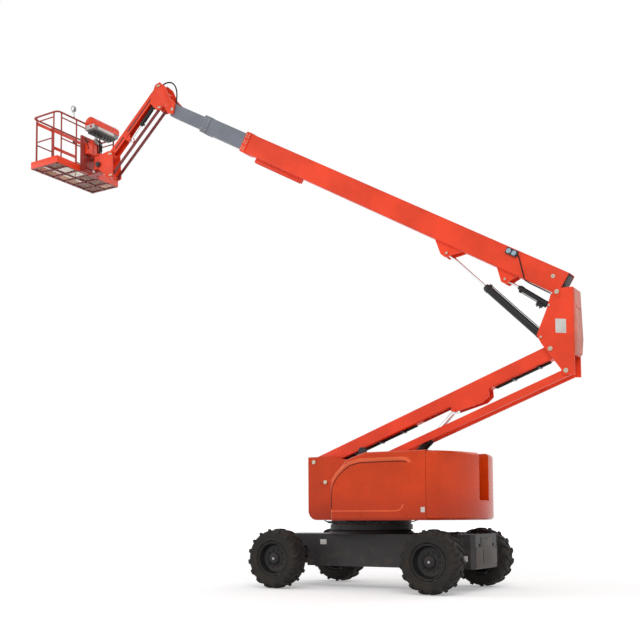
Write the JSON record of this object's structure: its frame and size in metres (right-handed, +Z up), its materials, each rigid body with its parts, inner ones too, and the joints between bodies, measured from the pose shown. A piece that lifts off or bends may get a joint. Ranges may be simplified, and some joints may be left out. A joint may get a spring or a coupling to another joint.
{
  "type": "articulating boom lift",
  "caption": "Wheeled articulating boom lift with a slewing turntable, twin-arm riser, telescopic main boom, jib and a railed work platform.",
  "frame": {"origin": "on the ground, under the slewing axis", "axes": "+X the way the main boom points, +Y the machine's left, +Z up"},
  "size_m": [11.278, 2.5, 10.11],
  "materials": {
    "black_metal": "satin",
    "black_plastic": "matt",
    "boom_grey": "satin",
    "boom_orange": "gloss",
    "cast_iron": "matt",
    "chrome": "polished",
    "dark_red": "satin",
    "frame_grey": "satin",
    "hood_orange": "satin",
    "tyre": "matt"
  },
  "bodies": {
    "chassis": {"chassis_frame": "frame_grey", "front_axle": "frame_grey", "rear_axle": "frame_grey", "slew_bearing": "frame_grey", "steer_barrel": "black_metal"},
    "knuckle_left": {"knuckle_left": "frame_grey"},
    "knuckle_right": {"knuckle_right": "frame_grey"},
    "steer_rod": {"steer_rod": "chrome"},
    "wheel_front_left": {"tyre_front_left": "tyre", "rim_front_left": "black_metal"},
    "wheel_front_right": {"tyre_front_right": "tyre", "rim_front_right": "black_metal"},
    "wheel_rear_left": {"tyre_rear_left": "tyre", "rim_rear_left": "black_metal"},
    "wheel_rear_right": {"tyre_rear_right": "tyre", "rim_rear_right": "black_metal"},
    "turntable": {"turntable_frame": "frame_grey", "counterweight": "hood_orange", "engine_block": "cast_iron", "tank_block": "black_metal", "motion_alarm": "black_plastic"},
    "hood_left": {"hood_left": "hood_orange"},
    "hood_right": {"hood_right": "hood_orange"},
    "riser": {"riser_boom": "boom_orange"},
    "riser_link": {"riser_link": "boom_orange"},
    "riser_cylinder_barrel": {"riser_cylinder_barrel": "black_metal"},
    "riser_cylinder_rod": {"riser_cylinder_rod": "chrome"},
    "upright": {"upright": "boom_orange", "upright_cover": "black_plastic"},
    "boom_base": {"boom_base": "boom_orange"},
    "boom_mid": {"boom_mid": "boom_grey"},
    "boom_fly": {"boom_fly": "boom_grey"},
    "lift_cylinder_barrel": {"lift_cylinder_barrel": "black_metal"},
    "lift_cylinder_rod": {"lift_cylinder_rod": "chrome"},
    "level_cylinder_barrel": {"level_cylinder_barrel": "black_metal"},
    "level_cylinder_rod": {"level_cylinder_rod": "chrome"},
    "jib_bracket": {"jib_bracket": "boom_orange"},
    "jib_arm": {"jib_arm": "boom_orange"},
    "jib_link": {"jib_link": "dark_red"},
    "jib_cylinder_barrel": {"jib_cylinder_barrel": "black_metal"},
    "jib_cylinder_rod": {"jib_cylinder_rod": "chrome"},
    "platform_bracket": {"platform_bracket": "boom_orange"},
    "platform": {"platform_support": "dark_red", "platform_floor": "dark_red", "platform_rails": "dark_red", "control_console": "hood_orange", "work_lamp": "black_plastic"},
    "entry_gate": {"entry_gate": "dark_red"}
  },
  "joints": [
    {"name": "steer_left", "type": "hinge", "parent": "chassis", "child": "knuckle_left", "pos_m": [1.25, 0.77, 0.505], "axis": [0, 0, 1], "range_deg": [-30, 30]},
    {"name": "steer_right", "type": "hinge", "parent": "chassis", "child": "knuckle_right", "pos_m": [1.25, -0.77, 0.505], "axis": [0, 0, 1], "range_deg": [-30, 30]},
    {"name": "steer_rod_slide", "type": "slide", "parent": "chassis", "child": "steer_rod", "axis": [0, 1, 0], "range_m": [-0.09, 0.09]},
    {"name": "wheel_front_left_spin", "type": "hinge", "parent": "knuckle_left", "child": "wheel_front_left", "pos_m": [1.25, 1.0575, 0.505], "axis": [0, 1, 0], "continuous": true},
    {"name": "wheel_front_right_spin", "type": "hinge", "parent": "knuckle_right", "child": "wheel_front_right", "pos_m": [1.25, -1.0575, 0.505], "axis": [0, 1, 0], "continuous": true},
    {"name": "wheel_rear_left_spin", "type": "hinge", "parent": "chassis", "child": "wheel_rear_left", "pos_m": [-1.61, 1.0575, 0.505], "axis": [0, 1, 0], "continuous": true},
    {"name": "wheel_rear_right_spin", "type": "hinge", "parent": "chassis", "child": "wheel_rear_right", "pos_m": [-1.61, -1.0575, 0.505], "axis": [0, 1, 0], "continuous": true},
    {"name": "slew", "type": "hinge", "parent": "chassis", "child": "turntable", "pos_m": [0, 0, 1.07], "axis": [0, 0, 1], "range_deg": [-180, 180]},
    {"name": "hood_left_swing", "type": "hinge", "parent": "turntable", "child": "hood_left", "pos_m": [-0.7, 0.21, 2.2257], "axis": [1, 0, 0], "range_deg": [0, 65]},
    {"name": "hood_right_swing", "type": "hinge", "parent": "turntable", "child": "hood_right", "pos_m": [-0.7, -0.21, 2.2257], "axis": [-1, 0, 0], "range_deg": [0, 65]},
    {"name": "riser_lift", "type": "hinge", "parent": "turntable", "child": "riser", "pos_m": [1.04, 0, 2.171], "axis": [0, 1, 0], "range_deg": [-23.5, 43]},
    {"name": "riser_link_swing", "type": "hinge", "parent": "turntable", "child": "riser_link", "pos_m": [0.805, 0, 1.811], "axis": [0, 1, 0], "range_deg": [-23.6, 43.1]},
    {"name": "upright_level", "type": "hinge", "parent": "riser", "child": "upright", "pos_m": [-3.25, 0, 3.789], "axis": [0, 1, 0], "range_deg": [-43.1, 23.6]},
    {"name": "riser_cylinder_swing", "type": "hinge", "parent": "turntable", "child": "riser_cylinder_barrel", "pos_m": [0.01, 0, 1.318], "axis": [0, 1, 0], "range_deg": [-23.02, 42.12]},
    {"name": "riser_cylinder_slide", "type": "slide", "parent": "riser_cylinder_barrel", "child": "riser_cylinder_rod", "axis": [-0.7001, 0, 0.7141], "range_m": [-0.52, 0.949]},
    {"name": "boom_lift", "type": "hinge", "parent": "upright", "child": "boom_base", "pos_m": [-3.37, 0, 4.667], "axis": [0, -1, 0], "range_deg": [-30.6, 39.4]},
    {"name": "telescope", "type": "slide", "parent": "boom_base", "child": "boom_mid", "axis": [0.8607, 0, 0.509], "range_m": [-0.7, 3.6]},
    {"name": "fly_slide", "type": "slide", "parent": "boom_mid", "child": "boom_fly", "axis": [0.8607, 0, 0.509], "range_m": [-0.701, 3.601]},
    {"name": "lift_cylinder_swing", "type": "hinge", "parent": "upright", "child": "lift_cylinder_barrel", "pos_m": [-3.108, 0, 3.984], "axis": [0, -1, 0], "range_deg": [-26.23, 33.77]},
    {"name": "lift_cylinder_slide", "type": "slide", "parent": "lift_cylinder_barrel", "child": "lift_cylinder_rod", "axis": [0.7071, 0, 0.7071], "range_m": [-0.43, 0.553]},
    {"name": "level_cylinder_swing", "type": "hinge", "parent": "upright", "child": "level_cylinder_barrel", "pos_m": [-3.245, 0, 4.47], "axis": [0, -1, 0], "range_deg": [-30.13, 38.79]},
    {"name": "level_cylinder_slide", "type": "slide", "parent": "level_cylinder_barrel", "child": "level_cylinder_rod", "axis": [0.8098, 0, 0.5867], "range_m": [-0.126, 0.161]},
    {"name": "jib_bracket_level", "type": "hinge", "parent": "boom_fly", "child": "jib_bracket", "pos_m": [4.4, 0, 9.44], "axis": [0, -1, 0], "range_deg": [-39.5, 30.7]},
    {"name": "jib_lift", "type": "hinge", "parent": "jib_bracket", "child": "jib_arm", "pos_m": [4.762, 0, 10], "axis": [0, -1, 0], "range_deg": [-19, 105]},
    {"name": "jib_link_swing", "type": "hinge", "parent": "jib_bracket", "child": "jib_link", "pos_m": [4.742, 0, 9.545], "axis": [0, -1, 0], "range_deg": [-19.1, 105.1]},
    {"name": "jib_cylinder_swing", "type": "hinge", "parent": "jib_bracket", "child": "jib_cylinder_barrel", "pos_m": [4.91, 0, 9.755], "axis": [0, -1, 0], "range_deg": [-21.33, 117.82]},
    {"name": "jib_cylinder_slide", "type": "slide", "parent": "jib_cylinder_barrel", "child": "jib_cylinder_rod", "axis": [0.7267, 0, -0.687], "range_m": [-0.076, 0.406]},
    {"name": "platform_level", "type": "hinge", "parent": "jib_arm", "child": "platform_bracket", "pos_m": [6.085, 0, 8.861], "axis": [0, -1, 0], "range_deg": [-105.1, 19.1]},
    {"name": "gate_swing", "type": "hinge", "parent": "platform", "child": "entry_gate", "pos_m": [7.5577, 0.35, 9.4], "axis": [0, 0, 1], "range_deg": [-88, 0]},
    {"name": "platform_rotate", "type": "hinge", "parent": "platform_bracket", "child": "platform", "pos_m": [6.48, 0, 8.76], "axis": [0, 0, 1], "range_deg": [-90, 90]}
  ],
  "couplings": [
    {"joint": "steer_right", "follows": "steer_left", "ratio": 1},
    {"joint": "steer_rod_slide", "follows": "steer_left", "m_per_rad": -0.162},
    {"joint": "riser_link_swing", "follows": "riser_lift", "ratio": 1},
    {"joint": "upright_level", "follows": "riser_lift", "ratio": -1},
    {"joint": "riser_cylinder_swing", "follows": "riser_lift", "ratio": 0.96},
    {"joint": "riser_cylinder_slide", "follows": "riser_lift", "m_per_rad": 1.26},
    {"joint": "fly_slide", "follows": "telescope", "ratio": 1},
    {"joint": "lift_cylinder_swing", "follows": "boom_lift", "ratio": 0.84},
    {"joint": "lift_cylinder_slide", "follows": "boom_lift", "m_per_rad": 0.8},
    {"joint": "level_cylinder_swing", "follows": "boom_lift", "ratio": 0.965},
    {"joint": "level_cylinder_slide", "follows": "boom_lift", "m_per_rad": 0.23},
    {"joint": "jib_bracket_level", "follows": "boom_lift", "ratio": -1},
    {"joint": "jib_link_swing", "follows": "jib_lift", "ratio": 1},
    {"joint": "platform_level", "follows": "jib_lift", "ratio": -1},
    {"joint": "jib_cylinder_swing", "follows": "jib_lift", "ratio": 1.1},
    {"joint": "jib_cylinder_slide", "follows": "jib_lift", "m_per_rad": 0.22}
  ]
}
